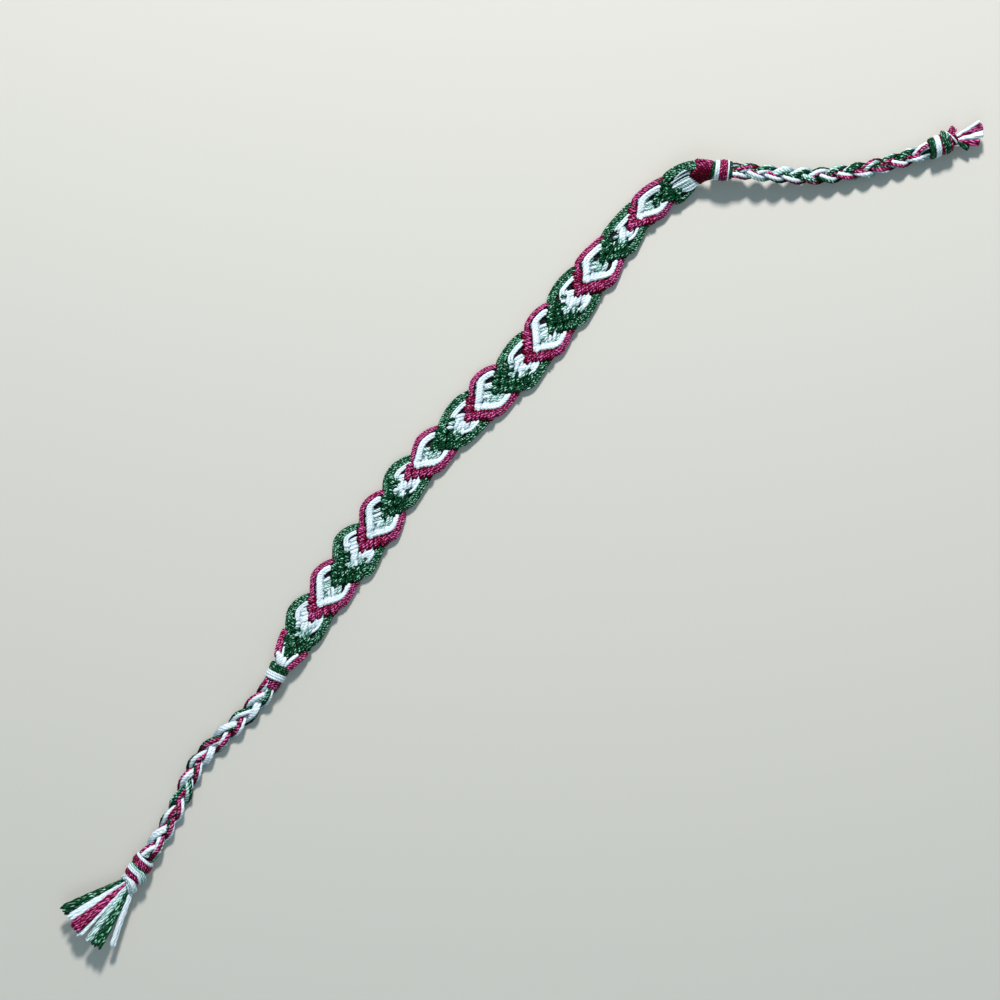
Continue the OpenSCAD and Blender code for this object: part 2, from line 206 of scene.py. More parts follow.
def straight_placer(at, heading, height):
    """Coordinates along a straight axis, to its left and up from it, to the frame's."""
    def place(p):
        flat = at + p[..., 0:1] * aim(heading) + p[..., 1:2] * aim(heading + 90)
        return np.concatenate([flat, p[..., 2:3] + height], -1)
    return place


place_tie_a = tie_placer(tie_a_axis, TIE_A_RISE, KNOT_D / 2)
place_tie_b = tie_placer(tie_b_axis, TIE_B_RISE, LIFT_B)
place_knot_a = straight_placer(knot_a_at, HEADING_A, KNOT_D / 2)
place_knot_b = straight_placer(knot_b_at, HEADING_B, LIFT_B)
place_end_a = straight_placer(end_a_at, END_HEADING_A, END_D / 2)
place_end_b = straight_placer(end_b_at, END_HEADING_B, END_D / 2)
place_tassel_a = straight_placer(tassel_a_at, END_HEADING_A, END_D / 2)
place_tassel_b = straight_placer(tassel_b_at, END_HEADING_B, END_D / 2)


# Materials

# Columns: name, painted shade colour in the grooves between plies, colour on the plies, painted
# highlight colour on their crests, how few crests get that painted highlight, and height of the
# relief, which also sets how strong the painted groove shade is
THREADS = {
    "crimson": ((0.02, 0, 0.002), (0.26, 0, 0.028), (0.95, 0.19, 0.54), 6.1, 1),
    "green": ((0, 0.006, 0.002), (0.002, 0.07, 0.025), (0.4, 0.86, 0.59), 6.65, 1),
    "white": ((0.2, 0.3, 0.36), (0.76, 0.85, 0.9), (0.9, 0.96, 0.98), 5.6, 0.4),
    "mint": ((0.03, 0.12, 0.1), (0.41, 0.67, 0.61), (0.82, 0.95, 0.93), 5.9, 0.85),
    # Near-black painted shade for the band's core
    "core": ((0.006, 0.004, 0.005), (0.012, 0.008, 0.01), (0.02, 0.014, 0.018), 5.9, 1),
}
ROUGHNESS, SPECULAR = 0.5, 0.06
# Plies twisted together in a strand, ridges round its mesh, fibres of its relief and their twist
PLIES, RIDGES, FIBRES, FIBRE_TWIST = 3, 2, 14, 0.7
# How far the plies wander and how fast, and shifts that set each strand's noises apart
WANDER, WANDER_RATE, PLY_SHIFT, WANDER_SHIFT, UNEVEN_SHIFT = 1.6, 0.5, 9, 90, 60
# Noise that picks the crests with painted highlights: its scale, and its rates along the thread and
# round it
UNEVEN_SCALE, UNEVEN_ALONG, UNEVEN_ROUND = 1.3, 0.9, 4
# Painted light on a thread's sides, which leaves them in painted shade, and how much more its top gets
SIDE_PAINTED_LIGHT, TOP_PAINTED_LIGHT = 0.25, 0.85
# Shares of the crests, the fibres and the thread's own tone in how light it is between its
# painted groove shade and the colour of its plies
CREST_SHADE, FIBRE_SHADE, TONE_LEAST, TONE_MORE = 1.3, 0.25, 0.75, 0.5
# Shares of the noise and of the painted light in how strong a crest's painted highlight is, and how
# narrow that highlight is
HIGHLIGHT_UNEVEN, HIGHLIGHT_BY_LIGHT, HIGHLIGHT_POWER = 9.0, 2.2, 1.6
# Relief of the shading, its depth in metres, and the fibres' share in it
BUMP_STRENGTH, BUMP_DEPTH, BUMP_FIBRES = 0.8, 0.00015, 0.3


def node(tree, kind, **values):
    made = tree.nodes.new(kind)
    for name, value in values.items():
        setattr(made, name, value)
    return made


def maths(tree, operation, a, b=None, c=None, clamp=False):
    made = node(tree, "ShaderNodeMath", operation=operation, use_clamp=clamp)
    for socket, value in zip(made.inputs, (a, b, c)):
        if isinstance(value, (int, float)):
            socket.default_value = value
        elif value is not None:
            tree.links.new(value, socket)
    return made.outputs[0]


def multiply(tree, a, b, added=None, clamp=False):
    return maths(tree, "MULTIPLY" if added is None else "MULTIPLY_ADD", a, b, added, clamp)


def wave(tree, turns):
    """A smooth wave between 0 and 1, with a crest at each whole turn."""
    angle = multiply(tree, turns, 2 * math.pi)
    return multiply(tree, maths(tree, "COSINE", angle), 0.5, 0.5)


def noise(tree, vector, scale, detail):
    made = node(tree, "ShaderNodeTexNoise")
    made.inputs["Scale"].default_value = scale
    made.inputs["Detail"].default_value = detail
    tree.links.new(vector, made.inputs["Vector"])
    return made.outputs[0]


def blend(tree, share, first, second):
    made = node(tree, "ShaderNodeMix", data_type="RGBA")
    tree.links.new(share, made.inputs["Factor"])
    for socket, value in zip([s for s in made.inputs if s.type == "RGBA"], (first, second)):
        if isinstance(value, tuple):
            socket.default_value = (*value, 1)
        else:
            tree.links.new(value, socket)
    return [s for s in made.outputs if s.type == "RGBA"][0]


def thread_inputs(tree):
    """Length of a thread in ply crests, turn about it, its own tone, and its painted light."""
    parts = node(tree, "ShaderNodeSeparateXYZ")
    tree.links.new(node(tree, "ShaderNodeUVMap", uv_map="thread").outputs[0], parts.inputs[0])
    tone, lift = (node(tree, "ShaderNodeAttribute", attribute_name=name).outputs["Fac"]
                  for name in ("tone", "lift"))
    return parts.outputs[0], parts.outputs[1], tone, lift


def ply_crests(tree, length, turn, tone):
    """1 on the crests of the plies and 0 in the grooves between them."""
    along = multiply(tree, length, WANDER_RATE)
    bend = noise(tree, multiply(tree, tone, WANDER_SHIFT, along), 1.0, 1)
    lap = maths(tree, "SUBTRACT", multiply(tree, turn, PLIES), length)
    shift = multiply(tree, tone, PLY_SHIFT, multiply(tree, bend, WANDER))
    return wave(tree, maths(tree, "ADD", lap, shift))


def unevenness(tree, length, turn, tone):
    """Noise that differs from crest to crest and from one strand to the next. It picks the crests
    that get painted highlights.
    """
    place = node(tree, "ShaderNodeCombineXYZ")
    rates = ((length, UNEVEN_ALONG), (turn, UNEVEN_ROUND), (tone, UNEVEN_SHIFT))
    for socket, (value, rate) in zip(place.inputs, rates):
        tree.links.new(multiply(tree, value, rate), socket)
    return noise(tree, place.outputs[0], UNEVEN_SCALE, 3)


def thread_material(name):
    """Plied cotton, from the strand's own map, with painted shade in its grooves, on its sides and
    where it gets little painted light, and painted highlights on some crests where it gets much;
    no two crests alike."""
    groove_shade_colour, body, highlight_colour, highlight_rarity, relief = THREADS[name]
    material = bpy.data.materials.new(name + "_cotton")
    material.use_nodes = True
    tree = material.node_tree
    shader = tree.nodes["Principled BSDF"]
    length, turn, tone, lift = thread_inputs(tree)
    crest = ply_crests(tree, length, turn, tone)
    twisted = multiply(tree, length, FIBRE_TWIST)
    fibre = wave(tree, multiply(tree, turn, FIBRES, twisted))
    uneven = unevenness(tree, length, turn, tone)
    # Painted shade on the thread's sides, lighter towards its top, scaled by its painted light
    top = maths(tree, "ABSOLUTE", maths(tree, "SINE", multiply(tree, turn, 2 * math.pi)))
    lit_share = multiply(tree, top, TOP_PAINTED_LIGHT, SIDE_PAINTED_LIGHT)
    lit_share = multiply(tree, lift, lit_share, clamp=True)
    # Painted shade in the grooves between plies and between fibres
    groove_shading = multiply(tree, crest, CREST_SHADE * relief, 1.0 - relief)
    groove_shading = multiply(tree, fibre, FIBRE_SHADE * relief, groove_shading)
    groove_shading = multiply(tree, groove_shading, multiply(tree, tone, TONE_MORE, TONE_LEAST))
    shade = multiply(tree, groove_shading, lit_share, clamp=True)
    # Painted highlight: a light colour on some crests, most where the thread gets most painted light
    common = multiply(tree, lift, HIGHLIGHT_BY_LIGHT, -highlight_rarity)
    common = multiply(tree, uneven, HIGHLIGHT_UNEVEN, common)
    highlight_share = multiply(tree, maths(tree, "POWER", crest, HIGHLIGHT_POWER), common)
    highlight_share = multiply(tree, highlight_share, lit_share, clamp=True)
    colour = blend(tree, highlight_share, blend(tree, shade, groove_shade_colour, body), highlight_colour)
    tree.links.new(colour, shader.inputs["Base Color"])
    bump = node(tree, "ShaderNodeBump")
    bump.inputs["Strength"].default_value = BUMP_STRENGTH * relief
    bump.inputs["Distance"].default_value = BUMP_DEPTH
    tree.links.new(multiply(tree, fibre, BUMP_FIBRES, crest), bump.inputs["Height"])
    tree.links.new(bump.outputs[0], shader.inputs["Normal"])
    shader.inputs["Roughness"].default_value = ROUGHNESS
    shader.inputs["Specular IOR Level"].default_value = SPECULAR
    return material


MATERIALS = {name: thread_material(name) for name in THREADS}


# Share of its width that a strand keeps at its blunt ends
BLUNT = 0.25
# Thickness of a free thread as a share of its width
THICKNESS = 0.9
UP = (0, 0, 1)


class Strands:
    """Strands of thread gathered into one mesh, a joined tube for each."""

    def __init__(self, name):
        self.name = name
        self.points, self.faces, self.maps, self.colours = [], [], [], []
        self.slots, self.tones, self.painted_lights = [], [], []
        self.count = 0

    def add(self, path, over, colour, width, thick, place, around=10, pitch=0.62, depth=0.07,
            taper=0.6, lift=1.0):
        """A strand along path. over is the way out of the surface, around the points round the
        strand, pitch the way from one ply's crest to the next, and depth the ridges' height. Its
        ends round off over taper. The painted light that it is given is 1 where it gets its full colour
        and painted highlights, and 0 where it gets painted shade."""
        path = np.asarray(path, float)
        over = np.broadcast_to(over, path.shape)
        way = unit(np.gradient(path, axis=0))
        side = unit(np.cross(over, way))
        up = np.cross(way, side)
        run = np.r_[0, np.cumsum(np.linalg.norm(np.diff(path, axis=0), axis=1))]
        turn = np.arange(around) / around
        ridge = RIDGES * (turn[None] - run[:, None] / pitch / PLIES)
        ply = 1 + depth * np.cos(2 * np.pi * ridge)
        edge = np.minimum(run, run[-1] - run)
        scale = np.sqrt(1 - (1 - np.clip(edge / taper, 0, 1)) ** 2).clip(BLUNT)
        a = ply * scale[:, None]
        ring = (path[:, None] + side[:, None] * (width / 2 * a * np.cos(2 * np.pi * turn))[..., None]
                + up[:, None] * (thick / 2 * a * np.sin(2 * np.pi * turn))[..., None])
        lift = np.broadcast_to(lift, run.shape)
        self.skin(place(ring), run / pitch, colour, random.random(), lift)

    def skin(self, ring, run, colour, tone, lift):
        """A closed tube over rings of points, with run as its map's length."""
        rows, around = ring.shape[:2]
        i, j = np.meshgrid(np.arange(rows - 1), np.arange(around), indexing="ij")
        i, j = i.ravel(), j.ravel()
        k = (j + 1) % around
        near, far = i * around, (i + 1) * around
        faces = np.stack([near + j, near + k, far + k, far + j], -1)
        u0, u1, v0, v1 = run[i], run[i + 1], j / around, (j + 1) / around
        maps = np.stack([np.stack(uv, -1) for uv in ((u0, v0), (u0, v1), (u1, v1), (u1, v0))], 1)
        q = np.arange(around // 2 - 1)
        cap = np.stack([q, around - 1 - q, around - 2 - q, q + 1], -1)
        faces = np.vstack([faces, cap, (rows - 1) * around + cap[:, ::-1]])
        flat = np.zeros((len(q), 4, 2))
        maps = np.vstack([maps, flat + [run[0], 0.5], flat + [run[-1], 0.5]])
        if colour not in self.colours:
            self.colours.append(colour)
        self.points.append(ring.reshape(-1, 3))
        self.faces.append(faces + self.count)
        self.maps.append(maps.reshape(-1, 2))
        self.slots.append(np.full(len(faces), self.colours.index(colour)))
        self.tones.append(np.full(rows * around, tone))
        self.painted_lights.append(np.repeat(lift, around))
        self.count += rows * around

    def build(self, nodes, slot):
        """The mesh of all strands, in the place of the CAD model's nodes."""
        points = np.vstack(self.points) * MM
        # Thread is pressed flat where it rests
        points[:, 2] = points[:, 2].clip(0)
        faces = np.vstack(self.faces)
        mesh = bpy.data.meshes.new(self.name)
        mesh.vertices.add(len(points))
        mesh.vertices.foreach_set("co", points.astype(np.float32).ravel())
        mesh.loops.add(faces.size)
        mesh.loops.foreach_set("vertex_index", faces.astype(np.int32).ravel())
        mesh.polygons.add(len(faces))
        mesh.polygons.foreach_set("loop_start", np.arange(0, faces.size, 4, dtype=np.int32))
        mesh.polygons.foreach_set("material_index", np.concatenate(self.slots).astype(np.int32))
        mesh.polygons.foreach_set("use_smooth", np.ones(len(faces), bool))
        mesh.update(calc_edges=True)
        layer = mesh.uv_layers.new(name="thread")
        layer.data.foreach_set("uv", np.vstack(self.maps).astype(np.float32).ravel())
        # Each strand's own tone, and its painted light, which sets its painted shade and highlights
        for name, values in (("tone", self.tones), ("lift", self.painted_lights)):
            attribute = mesh.attributes.new(name, "FLOAT", "POINT")
            attribute.data.foreach_set("value", np.concatenate(values).astype(np.float32))
        for colour in self.colours:
            mesh.materials.append(MATERIALS[colour])
        made = add_object(self.name, mesh)
        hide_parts(*nodes)
        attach(made, "root")
        print(self.name, "triangles", 2 * len(faces))


# Band

COLOURS = ["green", "crimson"]
# Threads of the rows of knots that are mixed
SHADED, SPOTTED = ("mint", "mint", "mint", "white"), ("mint", "white", "green")
# For each kind of leaf, one row for each chevron of knots. Columns: where it starts and ends, as
# shares of the way to the next leaf, its thread, the width of its wraps, how uneven it is, and
# how far its knots keep from the band's edge on the left and on the right
CHEVRONS = {
    "crimson": [
        (-0.04, 0.36, "crimson", 0.86, 0.05, 1.3, 1.5), (0.36, 0.62, "white", 1.1, 0.03, 2.0, 2.5),
        (0.61, 0.98, SHADED, 0.84, 0.16, 3.2, 2.4),
    ],
    "green": [
        (-0.04, 0.23, "green", 0.86, 0.05, 1.4, 1.4), (0.24, 0.48, "green", 0.86, 0.05, 2.0, 1.9),
        (0.47, 0.67, SPOTTED, 0.85, 0.16, 2.6, 2.4), (0.66, 1.0, "white", 0.98, 0.08, 3.2, 2.4),
    ],
}
# Strands along each leaf's edges. Columns: side, place of the chevron line that it leaves as a
# share of the way to the next leaf, distance from the edge, height, width; for one that isn't
# tucked under the next leaf's arm, how far past that leaf's point it ends; for a white one, how
# far from the leaf's point it starts
EDGE_STRANDS = {
    "crimson": [
        (1, 0.12, 0.33, 1.35, 0.66), (1, 0.2, 0.82, 1.8, 0.66),
        (1, 0.44, 1.75, 2.2, 0.95, 3.9, 0.35), (1, 0.54, 2.2, 2.15, 0.85, 3.4, 0.35),
        (-1, 0.1, 0.33, 1.25, 0.68), (-1, 0.17, 0.85, 1.7, 0.68), (-1, 0.25, 1.33, 1.95, 0.66, 3.4),
        (-1, 0.45, 1.8, 2.1, 0.85, 3, 0.35), (-1, 0.54, 2.15, 2.1, 0.7, 2.2, 0.35),
    ],
    "green": [
        (1, 0.06, 0.35, 1.3, 0.7), (1, 0.14, 0.93, 1.75, 0.7), (1, 0.24, 1.5, 2, 0.68, 4.2),
        (1, 0.5, 2.05, 2.05, 0.62, 4.4, 2), (1, 0.6, 2.5, 2.05, 0.62, 3.8, 1.7),
        (-1, 0.06, 0.35, 1.25, 0.7), (-1, 0.14, 0.93, 1.7, 0.7), (-1, 0.24, 1.5, 1.95, 0.68, 3.3),
        (-1, 0.55, 2.1, 2, 0.7, 2.6, 1.6),
    ],
}
# The last leaf of knots, with its rows and edge strands, and the leaves in a mesh of the band
LAST_LEAF, LAST_ROWS, LAST_STRANDS, MESH_LEAVES = 14, 2, 3, 8
KNOT_PITCH = 1.8
CREST_Z, HOLLOW_Z = 2.28, 1.75
# Height of a leaf's surface. Columns: share of the way to the next leaf, share of the rib
RIB = [(0, 0.35), (0.07, 0.85), (0.2, 1), (0.34, 0.9), (0.5, 0.65), (0.68, 0.4), (0.88, 0.15), (1, 0.1)]


def edge_marks(arm, start, bulge, notch):
    rows = [(0, GATHER_W / 2, start * BAND_W / 2)]
    rows += [(r[0] * BAND_LEN + arm, r[notch] * BAND_W / 2, r[bulge] * BAND_W / 2) for r in LEAVES]
    return np.array(rows + [(BAND_LEN, GATHER_W / 2, 0)])


EDGES = {1: edge_marks(ARM_LEFT, START[0], 1, 3), -1: edge_marks(ARM_RIGHT, START[1], 2, 4)}
PEAKS = {1: LEFT_PEAK, -1: RIGHT_PEAK}
ARMS = {1: ARM_LEFT, -1: ARM_RIGHT}
# How softly a strand turns from its arm to the band's edge, on the left and on the right
TURNS = {1: 0.5, -1: 1.4}


def half_width(s, side):
    """Half width of the band at s, on the left for side 1 and on the right for side -1."""
    marks = EDGES[side]
    i = np.clip(np.searchsorted(marks[:, 0], s, side="right") - 1, 0, len(marks) - 2)
    a, b = marks[i], marks[i + 1]
    t = np.clip((s - a[..., 0]) / (b[..., 0] - a[..., 0]), 0, 1)
    crown = np.maximum(0, a[..., 2] - (a[..., 1] + b[..., 1]) / 2)
    bulge = np.sin(np.pi * t ** PEAKS[side]).clip(0) ** BULGE_POWER
    return mix(a[..., 1], b[..., 1], smooth(t)) + crown * bulge


# How much more a leaf's rows of knots lean than its right arm does
STEEPER_RIGHT = 1.32
# Columns: place and point of a leaf, and how far its left and right sides run along the band for
# each millimetre out
LEAF = np.array([
    (place * BAND_LEN, point * BAND_W / 2, ARM_LEFT / ((left - point) * BAND_W / 2),
     STEEPER_RIGHT * ARM_RIGHT / ((right + point) * BAND_W / 2))
    for place, _, _, left, right, point in LEAVES])


class Chevron:
    """A line across leaf i in flat coordinates, at a share of the way to the next leaf: a V with
    its point towards end A."""

    def __init__(self, i, share):
        self.place, self.point, left, right = mix(LEAF[i], LEAF[i + 1], share)
        self.slopes = {1: left, -1: right}
        self.length = LEAF[i + 1][0] - LEAF[i][0]

    def at(self, run, side):
        """The point at a distance along the arm on one side, and the ways along and across it."""
        way = unit(np.array([self.slopes[side], side]))
        across = np.array([way[1] * side, -way[0] * side])
        return np.array([self.place, self.point]) + run * way, way, across

    def v(self, s, side):
        """How far out on one side the line lies at s."""
        return side * self.point + (s - self.place) / self.slopes[side]


def wobble(size):
    return random.normal(0, size)


# Sum of heights on top and below, and the least height of a strand as a share of its thickness
MIRROR_Z, RESTING = 2.5, 0.54


def underside(z, thick):
    """Height below for a height above, no lower than the surface that the band lies on."""
    return np.maximum(MIRROR_Z - z, thick * RESTING)


# A wrap of a knot: half the angle that it turns through, its slant, rise and thickness
WRAP_TURN, WRAP_SLANT, WRAP_RISE, WRAP_T = 95, 0.42, 0.62, 0.74
# Its distance from the knot's middle at its ends, and more at its top, as shares of KNOT_PITCH
WRAP_APART, WRAP_BOW = 0.1, 0.13
# Share of unevenness in its height, and how its way out leans out and up
WRAP_UNEVEN_Z, WRAP_OUT, WRAP_UP = 0.6, 0.8, 0.15
# Its least and greatest painted light, and the power by which that falls to painted shade at the ends
WRAP_PAINTED_LIGHT, WRAP_FADE = (0.8, 1.35), 2.2
# Points along it and round it, on the top and on the underside
TOP_MESH, UNDER_MESH = (11, 8), (6, 6)


def knot(strands, at, way, across, length, colour, width, uneven, top, reach, front):
    """A knot of two wraps side by side, which meet under its upper and lower ends."""
    rows, around = TOP_MESH if front else UNDER_MESH
    angle = np.radians(np.linspace(-WRAP_TURN, WRAP_TURN, rows))
    c, d = np.cos(angle), np.sin(angle)
    slant = WRAP_SLANT + wobble(uneven)
    for half in (-1, 1):
        bow = half * KNOT_PITCH * (WRAP_APART + WRAP_BOW * c) + wobble(uneven)
        p = length / 2 * d + reach * np.clip(d, 0, 1) + wobble(uneven)
        z = top + wobble(uneven * WRAP_UNEVEN_Z) - WRAP_RISE + WRAP_RISE * c
        flat = at + across * p[:, None] + way * (bow + slant * p)[:, None]
        over = np.column_stack([across * d[:, None] * WRAP_OUT, c + WRAP_UP])
        if not front:
            z = underside(z, WRAP_T)
            over[:, 2] *= -1
        thread = colour if isinstance(colour, str) else colour[random.integers(len(colour))]
        # Painted highlight on the top of each wrap, and painted shade where it dives at its ends
        lift = c.clip(0) ** WRAP_FADE * mix(*WRAP_PAINTED_LIGHT, random.random())
        strands.add(np.column_stack([flat, z]), over, thread, width, WRAP_T, band_place, lift=lift,
                    around=around, pitch=0.7, depth=0.05, taper=0.35)


# The row of a leaf without a knot at its point, and the most knots along an arm
SPLIT_ROW, ARM_KNOTS = 2, 9
# How far knots reach under the next row, in a leaf's last row and in its others
LAST_REACH, ROW_REACH = 0.6, 0.15
# Share of its row that the knot at the point fills, and how far knots keep from the band's end
POINT_SHARE, END_KEEP = 0.82, 2.0
ALONG, LEFT = np.eye(2)


def knot_rows(strands, i, front):
    """The chevrons of knots of leaf i."""
    rows = CHEVRONS[COLOURS[i % 2]][:LAST_ROWS if i == LAST_LEAF else None]
    for r, (start, end, colour, width, uneven, keep_left, keep_right) in enumerate(rows):
        line = Chevron(i, (start + end) / 2)
        top = mix(HOLLOW_Z, CREST_Z, table(RIB, (start + end) / 2))
        reach = LAST_REACH if r == len(rows) - 1 else ROW_REACH
        look = (colour, width, uneven, top, reach, front)
        row_len = (end - start) * line.length
        if r != SPLIT_ROW:
            knot(strands, line.at(0, 1)[0], LEFT, ALONG, row_len * POINT_SHARE, *look)
        first = 0.5 if r == SPLIT_ROW else 1.0
        for side, keep in ((1, keep_left), (-1, keep_right)):
            for k in range(ARM_KNOTS):
                at, way, across = line.at((first + k) * KNOT_PITCH, side)
                if side * at[1] > half_width(at[0], side) - keep or at[0] > BAND_LEN - END_KEEP:
                    break
                knot(strands, at, way, across, row_len * abs(across[0]), *look)


# Threads under a leaf's last rows: number, spacing, and colours by the leaf's own. Columns of
# their marks: chevron line, how far behind a thread is for each one inside it, height
CARRIED_COUNT, CARRIED_STEP = 7, 0.62
CARRIED = {"green": ("white", "mint", "white"), "crimson": ("mint", "mint", "green")}
CARRIED_MARKS = [(0.52, 0.9, 1), (0.856, 0, 1.57), (1.08, 0, 1)]


def carried_threads(strands, i):
    """Threads that lie under a leaf's last rows, and close the gaps between their knots."""
    colours = CARRIED[COLOURS[i % 2]]
    lines = [(Chevron(i, share), trail, z) for share, trail, z in CARRIED_MARKS]
    for k in range(CARRIED_COUNT):
        out = k - CARRIED_COUNT // 2
        v = CARRIED_STEP * out + wobble(0.05)
        marks = [(line.place + trail * abs(out), line.point + v, z) for line, trail, z in lines]
        colour = colours[k % len(colours)]
        # Painted shade on threads that lie under the rows of knots
        strand_through(strands, marks, colour, 0.72, 0.6, band_place, lift=0.65, around=6)


def soft_min(a, b, k):
    """The lesser of a and b, with the corner where they cross rounded over about k."""
    h = np.clip(0.5 + 0.5 * (b - a) / k, 0, 1)
    return mix(b, a, h) - k * h * (1 - h)


def ending(s, end, start, length):
    """0 up to start before the end, and from there up to 1 over length."""
    return smooth((s - end + start) / length)


# Edge strands: how far one tucks under the next arm, starts inside the edge at its arm's end, and
# keeps from the band's end, then the spacing of its points and the fewest that make a strand
TUCK_LEN, START_IN, END_CLEAR, EDGE_STEP, EDGE_LEAST = 0.35, 2.0, 0.5, 0.2, 8
# How far they dive where they are tucked, where they end openly and where they start, how far an
# open end turns in, and their thickness as a share of their width
TUCK_DIVE, OPEN_DIVE, START_DIVE, OPEN_TURN, EDGE_THICKNESS = 0.8, 0.35, 0.3, 0.25, 0.86
# Ripple of their height and its rate, their painted light before they dive, and the most that it
# may be; where they dive or start they get painted shade
RIPPLE, RIPPLE_RATE, EDGE_PAINTED_LIGHT, MOST_PAINTED_LIGHT = 0.05, 1.3, 1.3, 1.08


def edge_strand(strands, i, front, side, share, inset, z, width, past=None, away=None):
    """A strand that leaves its chevron's arm and follows the band's edge."""
    line = Chevron(i, share)
    arm_end = LEAF[i][0] + ARMS[side]
    tucks = past is None
    end = LEAF[i + 1][0] + (ARMS[side] + TUCK_LEN if tucks else past + wobble(0.12))
    end = min(end, BAND_LEN - END_CLEAR)
    point_v = side * line.point
    start_v = half_width(arm_end, side) - START_IN - inset / 2 if away is None else point_v + away
    s = np.arange(line.place + line.slopes[side] * (start_v - point_v), end, EDGE_STEP)
    if len(s) < EDGE_LEAST:
        return
    edge = half_width(np.maximum(s, arm_end + 0.01), side) - inset + wobble(0.04)
    v = soft_min(line.v(s, side), edge, TURNS[side])
    dive = ending(s, end, 1.1, 1.3) * (TUCK_DIVE if tucks else OPEN_DIVE)
    rise = smooth((s[0] + 1.0 - s) / 1.2) * START_DIVE
    height = z - dive - rise + RIPPLE * np.sin(s * RIPPLE_RATE + i)
    v = v - (0 if tucks else OPEN_TURN) * ending(s, end, 1.2, 1.4)
    thick = width * EDGE_THICKNESS
    if not front:
        height = underside(height, thick)
    # Painted shade where the strand dives under the next arm and where it starts
    lift = np.clip(EDGE_PAINTED_LIGHT - dive - rise * 2, 0, MOST_PAINTED_LIGHT)
    path = np.stack([s, side * v, height], -1)
    colour = COLOURS[i % 2] if away is None else "white"
    strands.add(path, UP, colour, width, thick, band_place, around=12 if front else 8, taper=0.5,
                lift=lift)


# The core, a near-black sheet of painted shade inside the band: half its thickness, points round
# it, and how far it keeps from the band's sides, start and end
CORE_HALF_T, CORE_AROUND, CORE_IN, CORE_START, CORE_END = 0.56, 16, 0.95, 0.4, 0.2


def band_core(strands):
    """A near-black sheet of painted shade inside the band, which shows only in the gaps between knots.
    """
    s = np.arange(CORE_START, BAND_LEN - CORE_END, STEP)
    turn = np.arange(CORE_AROUND) / CORE_AROUND * 2 * np.pi
    left, right = half_width(s, 1) - CORE_IN, half_width(s, -1) - CORE_IN
    c, d = np.cos(turn), np.sin(turn)
    v = np.where(c > 0, left[:, None] * c, right[:, None] * c)
    z = BAND_T / 2 + CORE_HALF_T * np.sign(d) * np.sqrt(np.abs(d))
    ring = np.stack([np.broadcast_to(s[:, None], v.shape), v, np.broadcast_to(z, v.shape)], -1)
    strands.skin(band_place(ring), s, "core", 0.5, np.ones(len(s)))


# Threads from knot A into the first leaf. Columns: thread, width, then along, left and up of its
# start, middle and end
FIRST_THREADS = [
    ("white", 1.2, (-0.5, 0.5, 1.7), (1, 1.1, 2.3), (2.5, 2.1, 2)),
    ("white", 1.1, (-0.5, 0, 1.9), (0.9, 0.4, 2.4), (2.3, 1, 2.1)),
    ("white", 0.6, (0.6, 0.3, 2.2), (3, 1, 2.3), (5.6, 1.9, 1.8)),
    ("white", 1, (-0.5, -0.4, 1.9), (0.8, -0.3, 2.4), (2.2, -0.1, 1.9)),
    ("white", 0.9, (-0.5, -0.8, 1.7), (1.7, -1.4, 2.2), (4.1, -2.4, 1.8)),
    ("crimson", 0.85, (0.9, 1.9, 1.7), (4, 2.9, 1.8), (7.4, 3.5, 1.3)),
    ("crimson", 0.85, (1.3, 1.3, 1.9), (4.2, 2.2, 2), (7.4, 2.8, 1.5)),
    ("crimson", 0.85, (-0.6, -2, 1.3), (2.2, -3.2, 1.6), (5.4, -4.1, 1.2)),
    ("crimson", 0.85, (-0.6, -1.5, 1.6), (2.4, -2.6, 1.9), (5.6, -3.6, 1.4)),
]
# Fans of threads from the last leaf into knot B. Columns, for a thread's start, middle and end:
# distance before the band's end and how much less it is at the fan's sides, half the fan's
# width, its shift to the left, its height and how much lower its sides are
LOOSE_FAN = [
    (11.6, 1.4, 0.9, -0.7, 1.6, 0.2), (8.2, 0, 1.8, -0.9, 2.1, 0.3), (4.6, 1.4, 1.9, -0.9, 1.6, 0.3),
]
CRIMSON_FAN = [
    (5.6, 2.6, 2.9, -0.3, 1.55, 0.9), (2.6, 0, 2.7, 0, 2.2, 0.9), (-0.6, 0, 1.9, 0, 2.15, 0.9),
]
# Their threads: number, colours, least and greatest widths and painted lights; low painted light is
# painted shade
LOOSE_COUNT, LOOSE_COLOURS = 17, ("white", "mint", "white", "green")
LOOSE_WIDTHS, LOOSE_PAINTED_LIGHTS = (0.42, 0.66), (0.45, 1.0)
CRIMSON_COUNT, CRIMSON_PAINTED_LIGHTS = 11, (0.3, 1.0)
# Green edges of the last leaf. Columns: side, distance from the edge, height, and how far from
# the band's end they stop
LAST_EDGES = [(1, 0.4, 1.35, 2.2), (1, 1, 1.75, 2.6), (-1, 0.35, 1.3, 3.6), (-1, 0.85, 1.6, 4.2)]
# How far before it they start, the spacing of their points, and how far they turn in and dive
LAST_START, LAST_STEP, LAST_TURN, LAST_DIVE = 12.5, 0.25, 0.25, 0.35


def fan(rows, count, power):
    """Number, place from -1 to 1 across the fan, and marks of each of its threads. The fan's
    sides fall by power."""
    for k in range(count):
        across = (k - count // 2) / (count // 2)
        out = abs(across)
        yield k, across, np.array([
            (BAND_LEN - before + less * out, half * across + shift, z - lower * out ** power)
            for before, less, half, shift, z, lower in rows])


